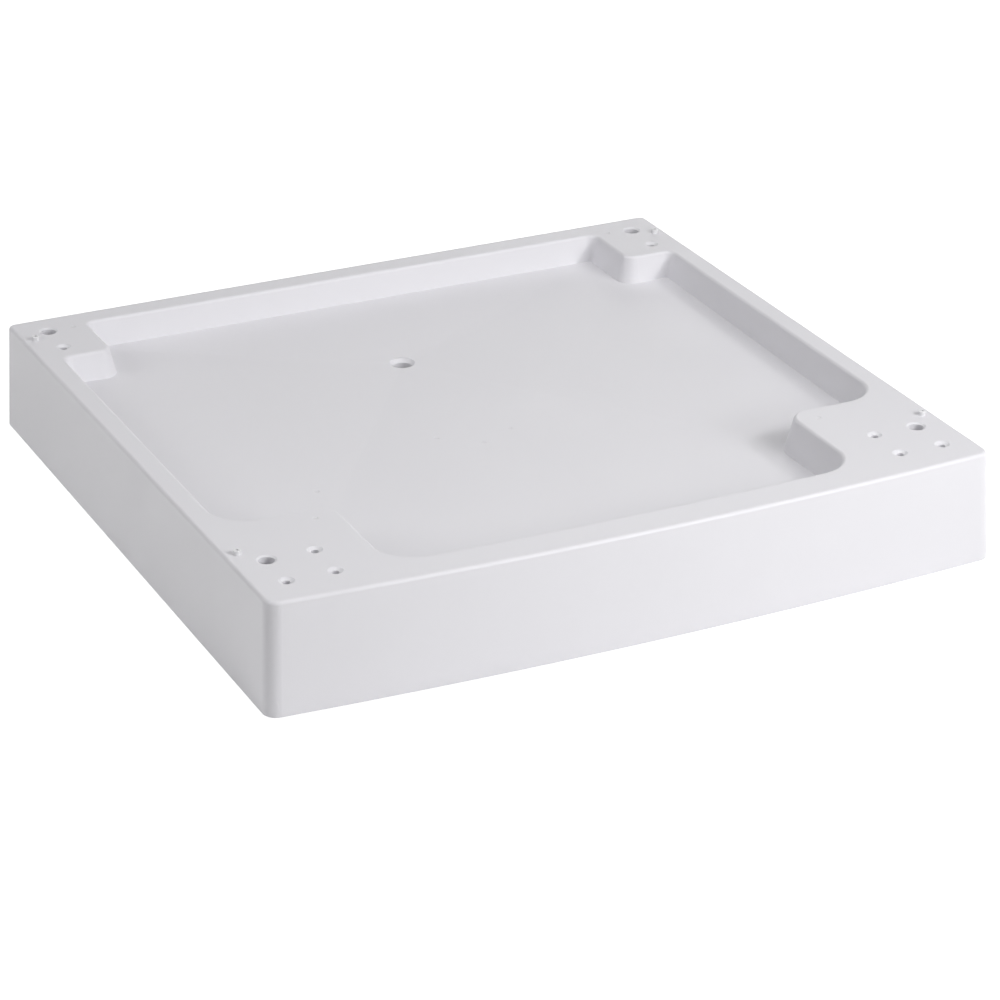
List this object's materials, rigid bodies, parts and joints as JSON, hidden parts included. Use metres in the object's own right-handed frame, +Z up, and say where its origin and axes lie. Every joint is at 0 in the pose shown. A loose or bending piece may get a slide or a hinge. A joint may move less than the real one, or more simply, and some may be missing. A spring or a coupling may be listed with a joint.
{
  "type": "washing machine stand",
  "caption": "Low moulded stand and drip tray for a washing machine: raised corner pads with holes and locating pegs, a sloped pocket with a drain, and rubber feet.",
  "frame": {"origin": "centre of the stand's footprint, on the floor", "axes": "+X to the right, +Y from the bowed front face to the back, +Z up from the floor to the pads"},
  "size_m": [0.6, 0.5859, 0.0935],
  "materials": {
    "tray_plastic": "satin, fine moulded texture",
    "peg_plastic": "satin",
    "foot_rubber": "matte"
  },
  "bodies": {
    "root": {"tray": "tray_plastic", "front_left_peg": "peg_plastic", "front_right_peg": "peg_plastic", "back_left_peg": "peg_plastic", "back_right_peg": "peg_plastic", "front_left_foot": "foot_rubber", "front_right_foot": "foot_rubber", "back_left_foot": "foot_rubber", "back_right_foot": "foot_rubber"}
  },
  "joints": []
}
